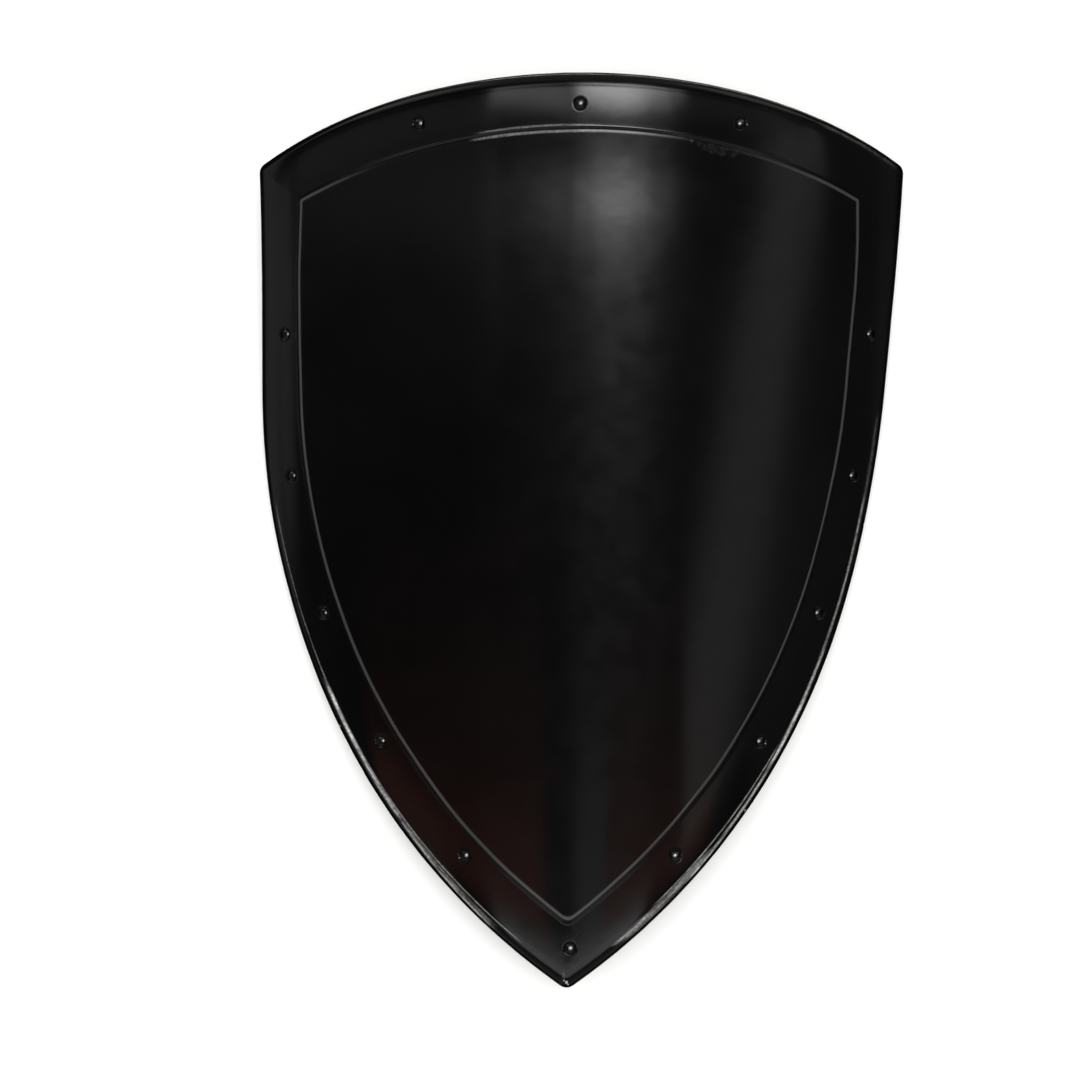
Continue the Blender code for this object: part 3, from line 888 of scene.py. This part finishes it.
def gloss_enamel(finish, chips, marks, dents):
    """Stoved black enamel on steel, sprayed by hand.

    It gives the eye a deep black with soft-edged highlights, clouded every 20 mm or so by the
    spray, a faint peel between, whitened streaks along the rolled edge that are partly scuffs and
    partly painted highlights, a painted highlight as a grey line along the step's ridge, a few
    bright chips on the edge, and some dull marks worn by rubbing.
    """
    mat, add = new_material("gloss_black_enamel")
    place = add("ShaderNodeTexCoord").outputs["Object"]
    cloud = add("ShaderNodeTexNoise", None, place, Scale=1 / SPRAY_CLOUDS, Detail=3.0,
                Roughness=0.55)
    drift = add("ShaderNodeTexNoise", None, place, Scale=1 / DULLED_PATCHES, Detail=2.0)
    peel = add("ShaderNodeTexNoise", None, place, Scale=1 / PEEL, Detail=2.0)
    ragged = add("ShaderNodeTexNoise", None, place, Scale=1 / CHIP_EDGES, Detail=2.0)
    edge = add("ShaderNodeAttribute", {"attribute_name": "rolled_edge"}).outputs["Fac"]
    edge_place = add("ShaderNodeAttribute", {"attribute_name": "edge_place"}).outputs["Vector"]
    edge_place = add("ShaderNodeSeparateXYZ", None, edge_place).outputs

    # scratches run along the edge, over a scratchy mottle, and break up the whitened streaks
    brushed = add("ShaderNodeCombineXYZ", None, edge_place["X"], edge_place["Y"])
    brushed = add("ShaderNodeVectorMath", "DIVIDE", brushed,
                  (SCRATCH_LENGTH, SCRATCH_SPACING, 1.0))
    brushed = add("ShaderNodeTexNoise", None, brushed, Scale=1.0, Detail=3.0, Roughness=0.6)
    brushed = add("ShaderNodeMapRange", None, brushed, *SCRATCHED)
    mottle = add("ShaderNodeTexNoise", None, place, Scale=1 / SCRATCH_MOTTLE, Detail=3.0,
                 Roughness=0.7)
    mottle = add("ShaderNodeMapRange", None, mottle, *MOTTLED)
    # whitened streaks: partly scuffs, partly painted highlights of the rolled edge and of the step
    # along the top
    scuff_and_highlight = scuff_and_highlight_streaks(add, edge_place["X"], edge_place["Y"])
    scuff_and_highlight = add("ShaderNodeMath", "MULTIPLY", scuff_and_highlight, brushed)
    scuff_and_highlight = add("ShaderNodeMath", CLAMPED_PRODUCT, scuff_and_highlight, mottle)
    # a painted highlight along the step's ridge, as a grey line
    ridge = painted_ridge_highlight(add, edge_place["X"], edge_place["Y"], drift)
    scuff_and_highlight = add("ShaderNodeMath", "MAXIMUM", scuff_and_highlight, ridge)
    bare = ragged_spots(add, place, ragged, chips)
    dull = ragged_spots(add, place, ragged, marks)

    bloom = add("ShaderNodeMapRange", None, drift, *DULLED)
    base = tinted(add, finish.paint, (
        (bloom, finish.paint_bloom), (scuff_and_highlight, finish.scuffs_and_highlights), (bare, finish.bare_steel_and_glint)))
    rougher = add("ShaderNodeMapRange", None, cloud, *NOISE_SPAN,
                  *(finish.paint_roughness + change for change in CLOUD_ROUGHNESS))
    for cause, more in (
            (edge, ROLLED_ROUGHER), (scuff_and_highlight, SCUFF_AND_HIGHLIGHT_ROUGHER), (dull, RUBBED_ROUGHER)):
        rougher = add("ShaderNodeMath", CLAMPED_SUM, cause, more, rougher)
    metal = add("ShaderNodeMath", "MULTIPLY", bare, CHIP_METAL)

    # height of the surface in millimetres: spray clouds, peel, the rough rolled edge and dents
    rough = add("ShaderNodeTexNoise", None, place, Scale=1 / ROLLED_ROUGHNESS, Detail=3.0,
                Roughness=0.6)
    rough = add("ShaderNodeMath", "MULTIPLY", rough, edge)
    rise = add("ShaderNodeMath", "MULTIPLY", cloud, CLOUD_RISE)
    for cause, more in ((peel, PEEL_RISE), (rough, ROLLED_RISE)):
        rise = add("ShaderNodeMath", "MULTIPLY_ADD", cause, more, rise)
    lumps = add("ShaderNodeTexNoise", None, place, Scale=1 / DENT_LUMPS, Detail=2.0)
    for centre, radius, depth in dents:
        away = add("ShaderNodeVectorMath", "DISTANCE", place, centre)
        reach = add("ShaderNodeMapRange", SOFT, away, DENT_FLOOR * radius, radius, depth, 0.0)
        rise = add("ShaderNodeMath", "MULTIPLY_ADD", lumps, reach, rise)
    return surfaced(mat, add, rise, Base_Color=base, Metallic=metal, Roughness=rougher)


def satin_back(finish):
    """A thin single coat of black on the hollow side, with dry spray and dust in it.

    It gives the eye a duller, slightly brown black, grainy close to.
    """
    mat, add = new_material("satin_black_back")
    place = add("ShaderNodeTexCoord").outputs["Object"]
    drift = add("ShaderNodeTexNoise", None, place, Scale=1 / DUST_PATCHES, Detail=5.0,
                Roughness=0.6)
    grain = add("ShaderNodeTexNoise", None, place, Scale=1 / DRY_SPRAY, Detail=2.0)
    dusty = add("ShaderNodeMapRange", None, drift, *DUSTED)
    base = tinted(add, finish.back_paint, ((dusty, finish.back_dust),))
    rougher = add("ShaderNodeMapRange", None, drift, *NOISE_SPAN, *BACK_ROUGHNESS)
    rise = add("ShaderNodeMath", "MULTIPLY", grain, DRY_SPRAY_RISE)
    return surfaced(mat, add, rise, Base_Color=base, Roughness=rougher)


def blackened_rivet(finish):
    """Mild steel rivets, blacked in oil and set after the plate was painted.

    It gives the eye small dark metal domes, each with one painted glint: bright steel colour where
    the dome faces one way.
    """
    mat, add = new_material("oil_blacked_rivet_steel")
    place = add("ShaderNodeTexCoord").outputs["Object"]
    worn = add("ShaderNodeTexNoise", None, place, Scale=1 / BLACKING_PATCHES, Detail=3.0)
    patchy = add("ShaderNodeMapRange", None, worn, *BLACKING_WORN)
    # the painted glint: bright steel colour where a dome faces one way
    bright = add("ShaderNodeAttribute", {"attribute_name": "rubbed"}).outputs["Fac"]
    base = tinted(add, finish.rivet_soot, (
        (patchy, finish.rivet_steel), (bright, finish.bare_steel_and_glint)))
    rougher = add("ShaderNodeMapRange", None, worn, *NOISE_SPAN, *BLACKING_ROUGHNESS)
    rougher = add("ShaderNodeMath", "MULTIPLY_ADD", bright, BRIGHT_ROUGHER, rougher)
    rise = add("ShaderNodeMath", "MULTIPLY", worn, BLACKING_RISE)
    return surfaced(mat, add, rise, Base_Color=base, Metallic=1.0, Roughness=rougher)


def pale_paper(stage):
    """A matt studio paper sweep: an even, faintly mottled off-white."""
    mat, add = new_material("matt_paper_sweep")
    place = add("ShaderNodeTexCoord").outputs["Object"]
    fibre = add("ShaderNodeTexNoise", None, place, Scale=1 / PAPER_FIBRES, Detail=4.0)
    rougher = add("ShaderNodeMapRange", None, fibre, 0.0, 1.0, *PAPER_ROUGHNESS)
    surface = add("ShaderNodeBsdfPrincipled", Base_Color=(*stage.floor, 1.0), Roughness=rougher)
    add("ShaderNodeOutputMaterial", Surface=surface)
    return mat


# Chips on the rolled edge: 1 for the right side or -1 for the left, mm down it from the shoulder,
# degrees that the edge has turned there, and radius in mm
EDGE_CHIPS = ((1, 284, 40, 1.5), (1, 302, 48, 1.1), (1, 533, 35, 0.8), (-1, 455, 38, 0.9))
# Chips on the tip, and dull marks above it, in mm: across from the corner where the edge starts to
# roll, above it and out of the face, and radius
TIP_CHIPS = ((0.2, -3.0, -0.6, 1.7), (-1.8, -1.2, -0.1, 1.1), (1.6, -4.8, -1.9, 1.2))
TIP_MARKS = ((5.5, 40, 0, 1.7), (7.5, 37, 0, 1.9), (10, 34.5, 0, 1.5))
# Dull marks and dents along the top, in mm: across from its middle, inside its edge, and radius,
# with a dent's depth
TOP_MARKS = (
    (-9, 30.0, 1.1), (-6.5, 30.2, 1.3), (-3.5, 30.4, 1.2), (95, 38.6, 1.8), (100, 39.6, 1.5),
    (105, 38.8, 2.6), (109, 40.4, 2.1), (115, 39.2, 2.5), (119, 38.2, 1.6), (127, 38.8, 1.9))
TOP_DENTS = (
    (92, 38, 5, 0.10), (99, 39, 5, 0.2), (106, 39, 6, 0.25), (114, 39, 6, 0.25),
    (123, 38, 6, 0.2))


def edge_point(sizes, placed, hand, run, turned):
    """A world point on the rolled edge: run along the side, where its face has turned."""
    inset, height = lip_point(sizes, turned)
    line = Outline(sizes, inset)
    point = line.side(run)
    point.x *= hand
    return placed @ wrap(sizes, line.place(point), height)


def top_point(sizes, placed, across, inset):
    """A world point inside the top edge, across from the middle."""
    line = Outline(sizes, inset)
    point = line.place(line.top(across / (line.top_radius * line.top_half_angle)))
    height = sizes.step_rise if inset > sizes.rim_width + sizes.step_run / 2 else 0.0
    return placed @ wrap(sizes, point, height)


def tip_point(sizes, placed, across, above, height):
    """A world point near the tip, from the corner where the edge starts to roll."""
    line = Outline(sizes, 0.0)
    point = line.place(line.side(line.side_length)) + Vector((across, above))
    return placed @ wrap(sizes, point, height)


def worn_places(sizes, placed):
    """Chips and dull marks as (centre, radius), and dents as (centre, radius, depth in mm)."""
    chips = [(edge_point(sizes, placed, hand, run * MM, math.radians(turned)), radius * MM)
             for hand, run, turned, radius in EDGE_CHIPS]
    marks = [(top_point(sizes, placed, across * MM, inset * MM), radius * MM)
             for across, inset, radius in TOP_MARKS]
    dents = [(top_point(sizes, placed, across * MM, inset * MM), radius * MM, depth)
             for across, inset, radius, depth in TOP_DENTS]
    for spots, places in ((chips, TIP_CHIPS), (marks, TIP_MARKS)):
        for across, above, height, radius in places:
            centre = tip_point(sizes, placed, across * MM, above * MM, height * MM)
            spots.append((centre, radius * MM))
    return chips, marks, dents


class SHIELD_OT_plate(bpy.types.Operator):
    """Build the rolled plate with its raised field, seats and hammered edge"""

    bl_idname = "shield.plate"
    bl_label = "Build plate"

    def execute(self, context):
        sizes, finish = context.scene.shield_sizes, context.scene.shield_finish
        placed = laid_down(sizes)
        front = gloss_enamel(finish, *worn_places(sizes, placed))
        mesh = flat_sheet(sizes, context.scene.rivet_sizes)
        mesh.materials.append(front)
        mesh.materials.append(satin_back(finish))
        plate = set_down("painted_plate", mesh)
        run_tree(plate, roll_tree(), {
            "Bend Radius": sizes.bend_radius, "Hammer Depth": sizes.hammer_depth,
            "Hammer Size": sizes.hammer_size, "Wave Depth": sizes.wave_depth,
            "Wave Size": sizes.wave_size, "Seed": sizes.seed,
            "Location": placed.to_translation(), "Rotation": placed.to_euler(),
            "Material": front})
        thickness = plate.modifiers.new("sheet thickness", "SOLIDIFY")
        thickness.thickness = sizes.sheet
        thickness.offset = -1.0
        thickness.material_offset = 1
        settle(plate)
        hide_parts("shield_plate")
        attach(plate, "root")
        return {"FINISHED"}


class SHIELD_OT_rivets(bpy.types.Operator):
    """Set the fourteen rivets through the rim"""

    bl_idname = "shield.rivets"
    bl_label = "Set rivets"

    def execute(self, context):
        sizes, rivets = context.scene.shield_sizes, context.scene.rivet_sizes
        placed = laid_down(sizes)
        points = rivet_points(sizes)
        mesh = bpy.data.meshes.new("rivet_places")
        level = HEAD_LIFT - rivets.seat_depth
        starts = [placed @ wrap(sizes, point, level) for point in points.values()]
        ends = [placed @ wrap(sizes, point, level + 1.0) for point in points.values()]
        mesh.from_pydata(starts, [], [])
        outward = mesh.attributes.new("outward", "FLOAT_VECTOR", "POINT")
        for way, start, end in zip(outward.data, starts, ends):
            way.vector = (end - start).normalized()
        obj = set_down("rim_rivets", mesh)
        run_tree(obj, rivet_tree(), {
            "Head Radius": rivets.head_radius, "Head Height": rivets.head_height,
            "Skirt": HEAD_SKIRT, "Shank Radius": rivets.shank_radius,
            "Back": sizes.sheet + SHANK_OVER_SHEET, "Tail Radius": rivets.tail_radius,
            "Tail Height": rivets.tail_height, "Seed": rivets.seed,
            # the side of each dome where its glint is painted
            "Glint Side": (placed.to_3x3() @ GLINT_SIDE).normalized(),
            "Material": blackened_rivet(context.scene.shield_finish)})
        settle(obj)
        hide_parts(*points)
        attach(obj, "root")
        return {"FINISHED"}


# Stage. Places and directions are in the shield's own frame.
LOOKED_AT = (-31.06 * MM, -291 * MM, 0.0)    # where the camera's axis meets the face's level
CAMERA_DISTANCE = 4.5
LENS = 193.2                         # mm
SENSOR = 36.0                        # mm
SWEEP_RADIUS = 6.0                   # the paper is flat this far out,
SWEEP_BEND = 1.5                     # and is bent up on this radius round that
SWEEP_RINGS = 4
SWEEP_BEND_STEPS = 12
SWEEP_STEPS = 96
LIGHT_DISTANCE = 20.0                # far enough that a lamp is only a direction
WHITE = (1.0, 1.0, 1.0)
WARM = (1.0, 0.30, 0.22)             # light thrown back by a wooden wall
# Azimuth, elevation, width, height and tilt in degrees, then radiance and colour
SOFTBOXES = {
    "key_1": (7.4, 9.1, 14.8, 3.6, 1.6, 2.9, WHITE),
    "key_2": (9.2, 9.15, 18.4, 3.6, 1.6, 2.3, WHITE),
    "key_3": (10.9, 9.2, 21.8, 3.6, 1.6, 2.2, WHITE),
    "key_4": (12.8, 9.25, 25.6, 3.6, 1.6, 1.9, WHITE),
    "key_foot_1": (10.2, 6.7, 24, 1.4, 1.6, 2.3, WHITE),
    "key_foot_2": (10.2, 6.7, 18.5, 1.4, 1.6, 3.0, WHITE),
    "key_foot_3": (10.2, 6.4, 12, 2.0, 1.6, 3.2, WHITE),
    "key_foot_4": (10, 6.4, 5, 2.0, 1.6, 1.6, WHITE),
    "upper_right": (40, 8.2, 26, 4, 0, 0.16, WHITE),
    "twin": (-11.9, 8.7, 18.5, 4.8, -6.5, 1.6, WHITE),
    "upper_left": (-45, 6.6, 53, 5, -0.4, 0.18, WHITE),
    "overhead": (0, 50, 110, 50, 0, 0.17, WHITE),
    "warm_left": (-30, -5.0, 44, 2.4, 0, 0.42, WARM),
    "warm_right": (20, -5.0, 26, 2.4, 0, 0.36, WARM),
    "low_middle": (3, -5.0, 7, 4.0, 0, 0.28, WHITE),
    "low": (-2, -10.2, 40, 5, 0.5, 1.25, WHITE),
    "lower_left": (-54, -10.2, 40, 5, -0.7, 0.34, WHITE),
    "underfoot": (0, -52, 110, 50, 0, 0.14, WHITE),
    "upper_right_corner": (64, 44, 34, 30, 0, 0.45, WHITE),
    "upper_left_corner": (-64, 44, 34, 30, 0, 0.45, WHITE),
    "right_panel": (43, 1.8, 4.5, 37, -73, 0.37, WHITE),
    "right_dim": (66, 2, 44, 30, 0, 0.035, WHITE),
    "left_panel": (-75, 2.6, 6, 6, 23, 0.3, WHITE),
}
# A low band of light all round the room, seen in the rolled edge: one radiance for each box,
# starting at the right and going round over the top
HORIZON = (0.05, 0.1, 0.5, 0.4, 0.3, 0.6, 0.7, 0.6)
HORIZON_FROM_ZENITH = 83             # degrees, as is its height
HORIZON_HEIGHT = 9


def add_softbox(placed, name, towards, upright, size, tilt, radiance, tint):
    """A soft light far off in that direction from the shield; sizes and tilt are in degrees."""
    light = bpy.data.lights.new(name, "AREA")
    light.shape = "RECTANGLE"
    light.size, light.size_y = (
        2 * LIGHT_DISTANCE * math.tan(math.radians(angle / 2)) for angle in size)
    light.energy = radiance * math.pi * light.size * light.size_y
    light.color = tint
    obj = set_down(name, light)
    side = Vector(upright).cross(towards).normalized()
    turn = Matrix((side, towards.cross(side), towards)).transposed().to_4x4()
    turn = turn @ Matrix.Rotation(math.radians(tilt), 4, "Z")
    centre = Vector(LOOKED_AT) + towards * LIGHT_DISTANCE
    obj.matrix_world = placed @ Matrix.Translation(centre) @ turn
    obj.visible_camera = False


def lay_paper(stage):
    """Lays the paper: flat under and round the shield, and bent up far off."""
    bm = bmesh.new()
    profile = [(SWEEP_RADIUS * k / SWEEP_RINGS, 0.0) for k in range(1, SWEEP_RINGS)]
    for k in range(SWEEP_BEND_STEPS + 1):
        angle = math.radians(90 * k / SWEEP_BEND_STEPS)
        profile.append((SWEEP_RADIUS + SWEEP_BEND * math.sin(angle),
                        SWEEP_BEND * (1 - math.cos(angle))))
    inner = []
    for radius, height in profile:
        ring = []
        for k in range(SWEEP_STEPS):
            angle = 2 * math.pi * k / SWEEP_STEPS
            place = (radius * math.cos(angle), radius * math.sin(angle), height)
            ring.append(bm.verts.new(place))
        if inner:
            join_rings(bm, inner, ring)
        else:
            bm.faces.new(ring)
        inner = ring
    mesh = smooth_mesh(bm, "paper_sweep")
    mesh.materials.append(pale_paper(stage))
    sweep = set_down("paper_sweep", mesh)
    # dark flags round the shield keep the white paper out of its gloss
    sweep.visible_glossy = False


def hang_lamps(placed, strength):
    """Hangs the soft boxes and the low ring of light round the room."""
    for name, (azimuth, elevation, *size, tilt, radiance, tint) in SOFTBOXES.items():
        azimuth, elevation = math.radians(azimuth), math.radians(elevation)
        towards = Vector((math.sin(azimuth) * math.cos(elevation), math.sin(elevation),
                          math.cos(azimuth) * math.cos(elevation)))
        add_softbox(placed, name, towards, (0.0, 1.0, 0.0), size, tilt, radiance * strength,
                    tint)
    down = math.radians(HORIZON_FROM_ZENITH)
    size = (360 / len(HORIZON), HORIZON_HEIGHT)
    for k, radiance in enumerate(HORIZON):
        turn = math.radians(360 * k / len(HORIZON))
        towards = Vector((math.cos(turn) * math.sin(down), math.sin(turn) * math.sin(down),
                          math.cos(down)))
        add_softbox(placed, f"horizon_{k + 1}", towards, (0.0, 0.0, 1.0), size, 0,
                    radiance * strength, WHITE)


def fill_room(scene, strength):
    """Even white light from all round, which the gloss doesn't show."""
    world = bpy.data.worlds.new("pale_room")
    world.use_nodes = True
    backdrop = world.node_tree.nodes["Background"]
    backdrop.inputs["Color"].default_value = (*WHITE, 1.0)
    backdrop.inputs["Strength"].default_value = strength
    scene.world = world
    world.cycles_visibility.glossy = False
    scene.view_settings.view_transform = "Standard"


def set_camera(scene, placed):
    """Sets the camera square to the shield's face, on the axis through LOOKED_AT."""
    camera = bpy.data.cameras.new("camera")
    camera.sensor_width = SENSOR
    camera.lens = LENS
    obj = set_down("camera", camera)
    eye = Vector(LOOKED_AT) + Vector((0.0, 0.0, CAMERA_DISTANCE))
    obj.matrix_world = placed @ Matrix.Translation(eye)
    scene.camera = obj


class SHIELD_OT_stage(bpy.types.Operator):
    """Lay the pale floor and set the lights and the camera"""

    bl_idname = "shield.stage"
    bl_label = "Set stage"

    def execute(self, context):
        scene, stage = context.scene, context.scene.shield_stage
        placed = laid_down(scene.shield_sizes)
        lay_paper(stage)
        hang_lamps(placed, stage.lamps)
        fill_room(scene, stage.room)
        set_camera(scene, placed)
        return {"FINISHED"}


class SHIELD_PT_panel(bpy.types.Panel):
    """Sizes and finishes of the shield, and the steps that build it"""

    bl_idname = "SHIELD_PT_panel"
    bl_label = "Heater shield"
    bl_space_type = "VIEW_3D"
    bl_region_type = "UI"
    bl_category = "Shield"

    def draw(self, context):
        layout = self.layout
        for operator in (SHIELD_OT_plate, SHIELD_OT_rivets, SHIELD_OT_stage):
            layout.operator(operator.bl_idname)
        for group, kind in GROUPS.items():
            box = layout.box()
            for name in kind.__annotations__:
                box.prop(getattr(context.scene, group), name)


GROUPS = {"shield_sizes": ShieldSizes, "rivet_sizes": RivetSizes,
          "shield_finish": ShieldFinish, "shield_stage": ShieldStage}
OTHERS = (SHIELD_OT_plate, SHIELD_OT_rivets, SHIELD_OT_stage, SHIELD_PT_panel)


def register():
    for name, kind in GROUPS.items():
        bpy.utils.register_class(kind)
        setattr(bpy.types.Scene, name, PointerProperty(type=kind))
    for kind in OTHERS:
        bpy.utils.register_class(kind)


def unregister():
    for kind in reversed(OTHERS):
        bpy.utils.unregister_class(kind)
    for name, kind in GROUPS.items():
        delattr(bpy.types.Scene, name)
        bpy.utils.unregister_class(kind)


def main():
    register()
    bpy.ops.shield.plate()
    bpy.ops.shield.rivets()
    bpy.ops.shield.stage()


if __name__ == "__main__":
    main()
